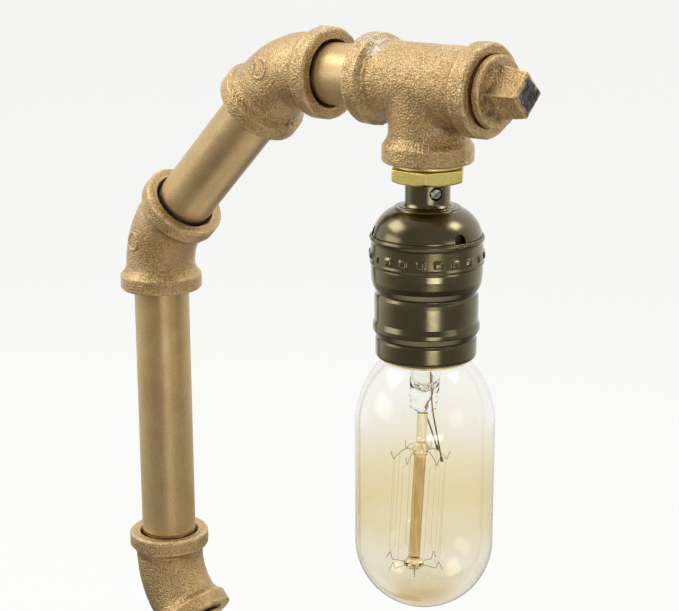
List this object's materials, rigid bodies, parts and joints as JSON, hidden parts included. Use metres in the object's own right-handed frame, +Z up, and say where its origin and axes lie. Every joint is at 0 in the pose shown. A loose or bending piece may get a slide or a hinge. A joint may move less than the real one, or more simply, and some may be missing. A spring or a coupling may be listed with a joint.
{
  "type": "table lamp",
  "caption": "Table lamp of half-inch pipe and malleable elbows on a floor flange, with a tee head, turn-switch lamp holder and tubular squirrel-cage bulb.",
  "frame": {"origin": "centre of the floor flange on the face that the lamp rests on", "axes": "+Z up, +X from the base towards the bulb; the pipe run lies in the XZ plane"},
  "size_m": [0.1889, 0.089, 0.4265],
  "materials": {
    "fitting_finish": "satin gold-bronze paint over cast grain",
    "pipe_finish": "satin gold-bronze paint over steel pipe",
    "pad_rubber": "matte",
    "grommet_rubber": "matte",
    "bushing_brass": "machined",
    "plain_steel": "plated",
    "socket_brass": "antique, darkened",
    "fibre": "matte fibre",
    "core_phenolic": "moulded",
    "bright_brass": "bright",
    "wire_insulation": "matte",
    "solder": "dull",
    "bulb_glass": "clear, faintly amber",
    "stem_glass": "clear",
    "fine_wire": "drawn",
    "filament_metal": "dark drawn wire",
    "copper": "copper",
    "black_glass": "gloss"
  },
  "bodies": {
    "base": {"base_pad": "pad_rubber", "floor_flange": "fitting_finish", "close_nipple": "pipe_finish", "base_tee": "fitting_finish", "inlet_bushing": "fitting_finish", "inlet_grommet": "grommet_rubber", "base_nipple": "pipe_finish", "foot_elbow": "fitting_finish", "lower_diagonal_pipe": "pipe_finish", "hip_elbow": "fitting_finish", "upright_pipe": "pipe_finish", "base_wire": "wire_insulation"},
    "arm": {"shoulder_elbow": "fitting_finish", "upper_diagonal_pipe": "pipe_finish", "upper_elbow": "fitting_finish", "short_nipple": "pipe_finish", "arm_wire": "wire_insulation"},
    "head": {"head_tee": "fitting_finish", "square_plug": "fitting_finish", "hex_bushing": "bushing_brass", "lamp_nipple": "plain_steel", "lamp_locknut": "plain_steel", "socket_cap": "socket_brass", "cap_set_screw": "plain_steel", "socket_shell": "socket_brass", "insulating_sleeve": "fibre", "socket_core": "core_phenolic", "screw_shell": "bright_brass", "centre_contact": "bright_brass", "terminal_screws": "bright_brass", "head_wire": "wire_insulation"},
    "switch": {"switch_knob": "socket_brass", "switch_rotor": "bright_brass"},
    "bulb_tip": {"cap_contact": "solder"},
    "bulb": {"bulb_glass": "bulb_glass", "bulb_stem": "stem_glass", "support_rod": "stem_glass", "upper_supports": "fine_wire", "lower_supports": "fine_wire", "filament": "filament_metal", "lead_wires": "copper", "bulb_cap": "bright_brass", "cap_insulator": "black_glass"}
  },
  "joints": [
    {"name": "arm_swing", "type": "hinge", "parent": "base", "child": "arm", "pos_m": [-0.06972, 0, 0.34102], "axis": [0, 0, 1], "range_deg": [-45, 45]},
    {"name": "head_tilt", "type": "hinge", "parent": "arm", "child": "head", "pos_m": [0.0634, 0, 0.41074], "axis": [1, 0, 0], "range_deg": [-60, 60]},
    {"name": "switch_turn", "type": "hinge", "parent": "head", "child": "switch", "pos_m": [0.0634, 0, 0.34784], "axis": [-0.6691, 0.7431, 0], "continuous": true},
    {"name": "bulb_out", "type": "slide", "parent": "head", "child": "bulb_tip", "axis": [0, 0, -1], "range_m": [0, 0.0218]},
    {"name": "bulb_turn", "type": "hinge", "parent": "bulb_tip", "child": "bulb", "pos_m": [0.0634, 0, 0.31764], "axis": [0, 0, -1], "range_deg": [0, 2160]}
  ],
  "couplings": [
    {"joint": "bulb_out", "follows": "bulb_turn", "m_per_rad": 0.0005776}
  ]
}
